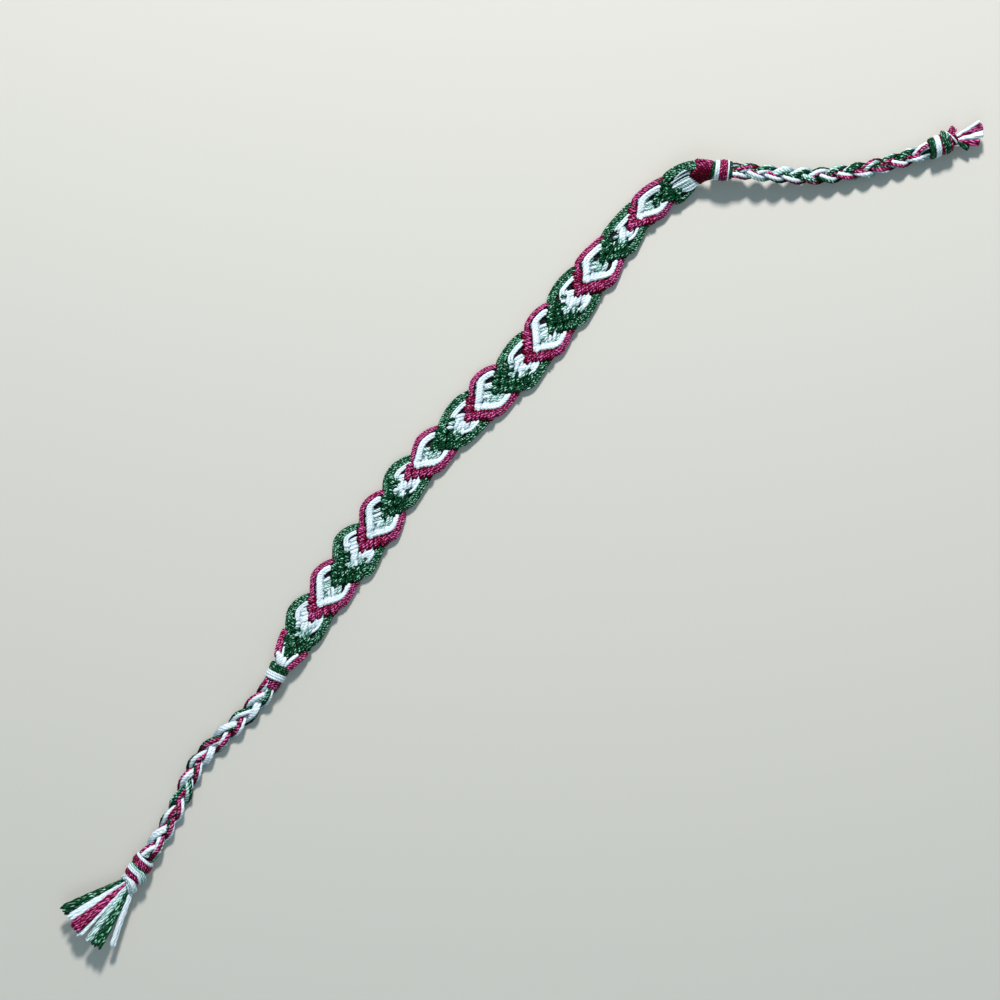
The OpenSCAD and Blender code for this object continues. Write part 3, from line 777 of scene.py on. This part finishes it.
def band_ends(strands):
    """Threads that run from knot A into the first leaf, and from the last leaf into knot B."""
    for colour, width, *marks in FIRST_THREADS:
        strand_through(strands, marks, colour, width, width * THICKNESS, band_place)
    for k, _, marks in fan(LOOSE_FAN, LOOSE_COUNT, 1):
        # Painted shade on some loose threads, at random
        lift = mix(*LOOSE_PAINTED_LIGHTS, random.random())
        marks += [(wobble(0.5), 0, 0), (0, wobble(0.16), wobble(0.12)), (0, 0, 0)]
        width = mix(*LOOSE_WIDTHS, random.random())
        colour = LOOSE_COLOURS[k % len(LOOSE_COLOURS)]
        strand_through(strands, marks, colour, width, 0.5, band_place, lift=lift)
    for side, inset, height, left_over in LAST_EDGES:
        s = np.arange(BAND_LEN - LAST_START, BAND_LEN - left_over, LAST_STEP)
        v = half_width(s, side) - inset - LAST_TURN * ending(s, s[-1], 2, 2)
        z = height - LAST_DIVE * ending(s, s[-1], 1.5, 1.5)
        strands.add(np.stack([s, side * v, z], -1), UP, "green", 0.72, 0.62, band_place)
    for _, across, marks in fan(CRIMSON_FAN, CRIMSON_COUNT, 2):
        # Painted shade on the crimson fan's right side, painted light on its left
        lift = mix(*CRIMSON_PAINTED_LIGHTS, smooth(across * 1.2))
        strand_through(strands, marks, "crimson", 0.85, 0.8, band_place, lift=lift)


# Spacing of the points of a strand through marks, the fewest that it has, and how often it is
# smoothed when it has more than three marks
CURVE_STEP, CURVE_LEAST, SMOOTHINGS = 0.24, 6, 12


def strand_through(strands, marks, colour, width, thick, place, over=UP, **more):
    """A strand on a smooth curve through a few marks."""
    marks = np.asarray(marks, float)
    run = np.r_[0, np.cumsum(np.linalg.norm(np.diff(marks, axis=0), axis=1))]
    t = np.linspace(0, run[-1], max(CURVE_LEAST, int(run[-1] / CURVE_STEP)))
    if len(marks) == 3:
        # A parabola through all three
        x, m = t / run[-1], run[1] / run[-1]
        shares = [(x - m) * (x - 1) / m, x * (x - 1) / (m * (m - 1)), x * (x - m) / (1 - m)]
        path = np.stack(shares, -1) @ marks
    else:
        path = np.stack([np.interp(t, run, marks[:, k]) for k in range(3)], -1)
        for _ in range(SMOOTHINGS):
            path[1:-1] = (path[:-2] + 2 * path[1:-1] + path[2:]) / 4
    strands.add(path, over, colour, width, thick, place, **more)


def make_band():
    for half, front in (("top", True), ("underside", False)):
        for group in (0, 1):
            strands = Strands("band_%s_%d" % (half, group + 1))
            for i in range(group * MESH_LEAVES, min((group + 1) * MESH_LEAVES, LAST_LEAF + 1)):
                knot_rows(strands, i, front)
                if front:
                    carried_threads(strands, i)
                for row in EDGE_STRANDS[COLOURS[i % 2]][:LAST_STRANDS if i == LAST_LEAF else None]:
                    edge_strand(strands, i, front, *row)
            if front and group == 0:
                band_core(strands)
                band_ends(strands)
            strands.build(["band"], "band_thread")


# Ties, knots and tassels

def braided(s, length, neck):
    """Length of braid up to s, which grows from nothing at each end's neck."""
    def ramp(x):
        return np.where(x <= 0, 0, np.where(x < EASE_LEN, x * x / (2 * EASE_LEN), x - EASE_LEN / 2))
    return ramp(s - neck) - ramp(s - length + NECK_B + EASE_LEN)


# How far a strand of a braid swings to the sides and up and runs into the knots, and its step
SWING_SIDE, SWING_UP, BRAID_OVER, BRAID_STEP = 1.2, 0.75, 0.3, 0.27
# Its threads: how far from its middle they lie to the sides and up, their width and thickness
THREAD_SIDE, THREAD_UP, THREAD_WIDE, THREAD_THICK = 0.48, 0.32, 1.05, 0.86
# Its painted light at middle height, and the change where it crosses over or under another: painted
# shade where it dives under, painted highlights where it rides over
BRAID_PAINTED_LIGHT, CROSSING_PAINTED_LIGHT = 0.8, 0.75
TIE_SLOTS = ["white_thread", "crimson_thread", "green_thread"]
# Each tie's share of these widths
WIDE_A, WIDE_B = 1.0, 0.92
# The four threads of each strand of a braid in their order round it, and its roll. Columns of
# the roll: place along the tie, turns in quarters
BRAID_A = [
    (("white", "green", "mint", "crimson"),
     [(5.2, 0), (12.5, 1), (20, 2), (27, 1), (34.5, -1), (41.8, -3), (49, -2)]),
    (("white", "crimson", "green", "mint"),
     [(7.7, 1), (15, 0), (22.3, 0), (29.6, 0), (36.9, -1), (44.2, 0), (51.5, 1)]),
    (("green", "white", "white", "crimson"),
     [(2.8, -1.6), (10, 0), (17.4, 0), (24.7, -1), (32, -1), (39.3, -2), (46.6, 0)]),
]
BRAID_B = [
    (("crimson", "white", "green", "green"),
     [(4.5, 1), (10.9, 0), (17.1, -1), (23.5, 0), (29.8, -2), (36, -3), (42.4, -1)]),
    (("white", "mint", "green", "crimson"),
     [(6.7, 1), (13, 0), (19.3, -1), (25.6, -1), (31.9, -3), (38.2, -1), (44.5, -3)]),
    (("mint", "green", "white", "crimson"),
     [(2.5, -1), (8.8, 0), (15, -1), (21.4, -1), (27.7, -1.7), (34, -3), (40.3, -1), (46, -2)]),
]


def make_tie(name, place, length, lay, neck, wide, braid):
    """Three strands of four threads each, a mesh for each strand."""
    for k, (threads, rolls) in enumerate(braid):
        strands = Strands("%s_strand_%d_threads" % (name, k + 1))
        s = np.arange(-BRAID_OVER, length + BRAID_OVER, BRAID_STEP)
        turn = 2 * np.pi * (braided(s, length, neck) / lay + k / len(braid))
        middle = np.stack([s, SWING_SIDE * wide * np.sin(turn), SWING_UP * np.sin(2 * turn)], -1)
        # Painted shade where the strand dives under another, painted light where it crosses over
        lift = np.clip(BRAID_PAINTED_LIGHT + CROSSING_PAINTED_LIGHT * np.sin(2 * turn), 0.1, 1)
        for j, colour in enumerate(threads):
            roll = np.pi / 2 * (table(rolls, s) + j)
            offset = np.stack([0 * s, THREAD_SIDE * wide * np.cos(roll), THREAD_UP * np.sin(roll)], -1)
            strands.add(middle + offset, UP, colour, THREAD_WIDE * wide, THREAD_THICK, place,
                        pitch=0.85, taper=0.2, lift=lift)
        strands.build(["%s_strand_%d" % (name, k + 1)], TIE_SLOTS[k])


# A turn of a knot: its angle and points, the spacing of turns, and their width as a share of it
RING_TURN, RING_POINTS, RING_STEP, RING_WIDE = 352, 44, 0.55, 1.25
# Share of its width that its middle lies under the knot's surface, and how far the outer turns of
# a bundle lie under its middle ones
RING_UNDER, BUNDLE_ROUND = 0.4, 0.25
# Threads inside a knot: number, distance from its axis in gathering knots and in end knots, and
# the shares of it at their start and end
FILL_COUNT, KNOT_FILL_R, END_FILL_R = 9, 1.45, 1.05
FILL_START, FILL_END = 0.8, 0.7


def ring_path(along, radius, tilt, start):
    """A turn of thread about a knot's axis, leaning by tilt along it, and its ways out."""
    angle = np.radians(np.linspace(start, start + RING_TURN, RING_POINTS))
    c, d = np.cos(angle), np.sin(angle)
    return np.stack([along + tilt * c, radius * c, radius * d], -1), np.stack([0 * angle, c, d], -1)


def make_knot(name, place, wraps, radius):
    """A knot of turns of thread. wraps holds for each bundle of turns its start and end along
    the axis, thread, lean, and how far it stands out."""
    strands = Strands(name + "_threads")
    for start, end, colour, lean, out in wraps:
        count = max(1, round((end - start) / RING_STEP))
        width = (end - start) / count * RING_WIDE
        for k in range(count):
            share = (k + 0.5) / count
            inside = width * RING_UNDER + BUNDLE_ROUND * (2 * share - 1) ** 2
            bulge = radius + out - inside + wobble(0.03)
            ring = ring_path(mix(start, end, share), bulge, lean + wobble(0.04), -90 + wobble(12))
            # Painted light a little below full: some painted shade and fewer painted highlights on the
            # turns
            strands.add(*ring, colour, width, 0.75, place, taper=0.2, lift=0.82)
    return strands


def knot_fill(strands, place, length, radius, colour):
    """The threads inside a knot, side by side about its axis."""
    for k in range(FILL_COUNT):
        y, z = radius * aim(360 / FILL_COUNT * k)
        ends = [(-0.1, y * FILL_START, z * FILL_START), (length / 2, y, z),
                (length + 0.1, y * FILL_END, z * FILL_END)]
        # Painted shade on the threads inside the knot
        strand_through(strands, ends, colour, 1.0, 0.9, place, over=(0, y, z), around=8, lift=0.45)


# Bundles of turns of the four knots. Columns: start and end along the axis, thread, lean, and how
# far they stand out
KNOT_A = [(0.05, 1.85, "green", 0.12, 0), (1.85, 3.6, "white", -0.12, 0)]
KNOT_B = [
    (0, 0.8, "green", 0.15, -0.25), (0.8, 1.85, "white", 0.15, -0.1),
    (1.85, 3.75, "crimson", 0.15, 0.12), (3.7, 4.05, "white", 0.15, -0.15),
    (4.05, 4.75, "green", 0.1, -0.25),
]
END_A = [
    (-0.1, 0.65, "white", 0.3, -0.2), (0.6, 2.1, "crimson", 0.3, 0), (2.05, 2.6, "green", 0.3, -0.35),
    (2.6, 3.15, "mint", 0.3, -0.1), (3.1, 4.1, "white", 0.3, -0.05), (4, 5.5, "crimson", 0.3, -0.15),
]
END_B = [
    (-0.1, 1.3, "green", 0.4, -0.15), (1.2, 2.5, "white", 0.5, 0), (2.4, 3.4, "crimson", 0.4, -0.2),
    (3.2, 4.8, "green", 0.4, 0), (4.7, 5.3, "crimson", 0.3, -0.25),
]
# Loose loops over the end knots. Columns: thread, width, then along, left and up of its marks
LOOPS_A = [
    ("mint", 0.7, (2.6, 0.9, 2.2), (3.5, 2.4, 1.7), (4.4, 3.1, 0.5), (5.2, 2.4, -0.7)),
    ("mint", 0.7, (3.1, 0.8, 2.3), (4, 2.2, 2), (4.9, 2.8, 0.8), (5.6, 2.2, -0.6)),
    ("white", 0.7, (3.6, 0.6, 2.3), (4.5, 1.7, 2.2), (5.3, 2.3, 1.2), (5.8, 2, -0.3)),
    ("white", 0.9, (7, -2.2, -0.5), (5.7, -1.8, 0.7), (5.2, -0.7, 1.8), (5.9, 0.9, 2.2),
     (7.3, 2.2, 0.9), (7.5, 2.2, -0.6)),
    ("white", 0.8, (6.9, -1.6, 0.3), (5.9, -1.3, 1.2), (5.7, -0.4, 2.1), (6.5, 0.9, 2.3),
     (7.9, 2, 1), (8, 2, -0.6)),
    ("mint", 0.8, (6.6, -1, 1), (6.2, -0.3, 1.8), (6.9, 0.7, 2), (8.3, 1.7, 1), (8.4, 1.7, -0.5)),
    ("white", 0.7, (7, -0.5, 1), (7, 0.1, 1.6), (7.7, 0.8, 1.6), (8.6, 1.4, 0.6), (8.7, 1.4, -0.6)),
]
LOOPS_B = [
    ("green", 0.8, (2.9, -0.8, 2.2), (3.3, 0.9, 2.5), (3.7, 2.4, 1.7), (4.2, 2.7, -0.2)),
    ("green", 0.8, (3.6, -0.9, 2.2), (3.9, 0.8, 2.5), (4.2, 2.2, 1.7), (4.6, 2.5, -0.2)),
    ("mint", 0.45, (4, 0.2, 2.45), (4.4, 1.3, 2.3), (4.7, 2.1, 1.5), (4.9, 2.3, 0.2)),
    ("white", 0.5, (4.5, 2.6, 0.9), (5.2, 1.2, 2), (5.9, -0.2, 1.7), (6.3, -1.2, 0.6)),
    ("crimson", 0.75, (4.9, 1.3, 0.8), (5.7, 2.2, 1.2), (6.3, 2.7, 1.2), (6.8, 3, 1)),
    ("crimson", 0.75, (5.1, 1, 0.7), (5.9, 1.8, 1.3), (6.6, 2.3, 1.3), (7.1, 2.6, 1.1)),
    ("crimson", 0.7, (5.3, 0.6, 0.5), (6.2, 1.3, 1), (6.9, 1.7, 1.1), (7.4, 2, 0.9)),
]


# Crimson neck from knot A into the braid: threads, angle of the first one and from there to the
# last, half width and half height. Columns: distance past the knot, shares of those halves
COLLAR_COUNT, COLLAR_FROM, COLLAR_TURN, COLLAR_SIDE, COLLAR_UP = 8, -25, 230, 1.5, 1.15
COLLAR_MARKS = [(-0.4, 1, 1), (1, 1, 1.05), (2.5, 0.75, 0.45)]


def make_gathering_knot(name, place, turns, length):
    strands = make_knot(name, place, turns, KNOT_D / 2)
    knot_fill(strands, place, length, KNOT_FILL_R, "green")
    return strands


def make_knot_a():
    strands = make_gathering_knot("knot_a", place_knot_a, KNOT_A, KNOT_A_LEN)
    for k in range(COLLAR_COUNT):
        y, z = aim(COLLAR_FROM + COLLAR_TURN * k / (COLLAR_COUNT - 1)) * (COLLAR_SIDE, COLLAR_UP)
        marks = [(KNOT_A_LEN + past, y * wide, z * high) for past, wide, high in COLLAR_MARKS]
        strand_through(strands, marks, "crimson", 0.85, 0.8, place_knot_a)
    strands.build(["knot_a"], "green_thread")


def make_end_knot(name, place, turns, loops, slot):
    strands = make_knot(name, place, turns, END_D / 2)
    knot_fill(strands, place, END_LEN + NOSE_LEN, END_FILL_R, "crimson")
    for colour, width, *marks in loops:
        strand_through(strands, marks, colour, width, width * THICKNESS, place, around=12)
    strands.build([name], slot)


# Locks of cut threads. Columns: thread, place across the root, along and left of its tip from
# the root, width at the tip, rise to the tip
TASSEL_A = [
    ("green", -1.2, 13.8, -9.3, 2.9, 1.7), ("white", -0.85, 14.4, -7.2, 1.9, 2.1),
    ("crimson", -0.35, 15.6, -4.8, 3.3, 2.4), ("white", -0.1, 16.7, -3, 1.5, 1.6),
    ("mint", 0.2, 16.6, -0.4, 1.9, 2), ("green", 0.7, 16.3, 1.8, 3.1, 2.2),
    ("white", 1.1, 14.4, 5, 1.5, 0.8),
]
TASSEL_B = [
    ("white", 0.45, 6.1, 1.6, 0.5, 1.2), ("crimson", 0.2, 6.3, 0.5, 2.3, 0.9),
    ("white", -0.3, 6, -1.4, 1.8, 0.5), ("crimson", -0.7, 4.5, -3, 1.8, -0.1),
    ("green", -1, 1.6, -3.3, 1.7, -0.5),
]
# Threads of a lock: number for each millimetre of its tip, points along them, width, thickness,
# and how unevenly they are cut
LOCK_THREADS, LOCK_POINTS, LOCK_THREAD_W, LOCK_THREAD_T, CUT = 2.6, 34, 0.8, 0.7, 0.05
# A lock's width at its root, how far and how fast its threads stray, and its rise to its middle
ROOT_W, STRAY, STRAY_RATE, LOCK_ROUND = 0.6, 0.04, 8, 0.3
# Marks from the knot's nose to the root. Columns: distance before the root, shares of the root's
# place across and of its height
NOSE = [(1.9, 0.6, 0.5), (0.9, 0.9, 0.9)]


def make_tassel(name, place, locks, slot):
    strands = Strands(name + "_threads")
    for colour, root, along, left, width, rise in locks:
        tip = np.array([along, left])
        side = unit(np.array([-(left - root), along]))
        count = max(1, round(width * LOCK_THREADS))
        for k in range(count):
            share = (k + 0.5) / count - 0.5
            t = np.linspace(0, 1, LOCK_POINTS)
            reach = 1 - CUT * random.random()
            spread = share * mix(ROOT_W, width - ROOT_W, t) + STRAY * np.sin(t * STRAY_RATE + k * 2)
            flat = mix(np.array([0, root]), tip, (t * reach)[:, None]) + np.outer(spread, side)
            z = rise * smooth(t) + wobble(0.2) * t + LOCK_ROUND * math.cos(math.pi * share)
            nose = [(*(flat[0] * wide - (before, 0)), z[0] * high) for before, wide, high in NOSE]
            path = np.vstack([nose, np.column_stack([flat, z])])
            strands.add(path, UP, colour, LOCK_THREAD_W, LOCK_THREAD_T, place, around=8, pitch=1.8,
                        depth=0.1, taper=0.12)
    strands.build([name], slot)


# Floor, lights and camera. Lengths are metres, but for the photograph's own

# The photograph looks straight down, with the band's +X turned this far up from its right
PHOTO_TURN = 51.1
PHOTO_WIDTH, PHOTO_DISTANCE = 233.3, 600.0
PHOTO_MIDDLE = (0.6, 5.54)
SENSOR_WIDTH = 36
LIGHT_DISTANCE = 0.9
# Columns: name, heading in the photograph, whose right is 0 and top is 90, elevation, size, power
LIGHTS = [("key", 90, 42, 0.14, 9.5), ("fill", 270, 60, 0.6, 0.8)]
SKY_COLOUR, SKY_STRENGTH = (0.55, 0.84, 1.0, 1), 0.35
FLOOR_SIZE, FLOOR_COLOUR, FLOOR_ROUGHNESS = 4.0, (0.62, 0.58, 0.52, 1), 0.8


def make_floor():
    bpy.ops.mesh.primitive_plane_add(size=FLOOR_SIZE, location=(0, 0, 0))
    floor = bpy.context.object
    floor.name = "floor"
    material = bpy.data.materials.new("floor_paper")
    material.use_nodes = True
    shader = material.node_tree.nodes["Principled BSDF"]
    shader.inputs["Base Color"].default_value = FLOOR_COLOUR
    shader.inputs["Roughness"].default_value = FLOOR_ROUGHNESS
    floor.data.materials.append(material)


def make_light(name, heading, elevation, size, power):
    """An area light that looks at the bracelet, from a heading and an elevation in degrees."""
    lamp = bpy.data.lights.new(name, "AREA")
    lamp.shape = "DISK"
    lamp.size, lamp.energy = size, power
    made = add_object(name, lamp)
    out, up = aim(elevation)
    way = Vector((*(aim(heading) * out), up))
    made.location = way * LIGHT_DISTANCE
    made.rotation_mode = "QUATERNION"
    made.rotation_quaternion = way.to_track_quat("Z", "Y")


def make_camera():
    data = bpy.data.cameras.new("camera")
    data.sensor_width = SENSOR_WIDTH
    data.lens = SENSOR_WIDTH * PHOTO_DISTANCE / PHOTO_WIDTH
    data.clip_start = 0.01
    camera = add_object("camera", data)
    camera.location = (PHOTO_MIDDLE[0] * MM, PHOTO_MIDDLE[1] * MM, PHOTO_DISTANCE * MM)
    camera.rotation_euler = (0, 0, math.radians(-PHOTO_TURN))
    bpy.context.scene.camera = camera


def make_lights():
    for name, heading, elevation, size, power in LIGHTS:
        make_light(name, heading - PHOTO_TURN, elevation, size, power)
    world = bpy.data.worlds.new("world")
    bpy.context.scene.world = world
    world.use_nodes = True
    back = world.node_tree.nodes["Background"]
    back.inputs["Color"].default_value = SKY_COLOUR
    back.inputs["Strength"].default_value = SKY_STRENGTH
    bpy.context.scene.view_settings.view_transform = "Standard"


make_camera()
make_lights()
make_floor()
make_band()
make_tie("tie_a", place_tie_a, TIE_A_LEN, LAY_A, NECK_A, WIDE_A, BRAID_A)
make_tie("tie_b", place_tie_b, TIE_B_LEN, LAY_B, NECK_B, WIDE_B, BRAID_B)
make_knot_a()
make_gathering_knot("knot_b", place_knot_b, KNOT_B, KNOT_B_LEN).build(["knot_b"], "green_thread")
make_end_knot("end_knot_a", place_end_a, END_A, LOOPS_A, "crimson_thread")
make_end_knot("end_knot_b", place_end_b, END_B, LOOPS_B, "green_thread")
make_tassel("tassel_a", place_tassel_a, TASSEL_A, "crimson_thread")
make_tassel("tassel_b", place_tassel_b, TASSEL_B, "crimson_thread")
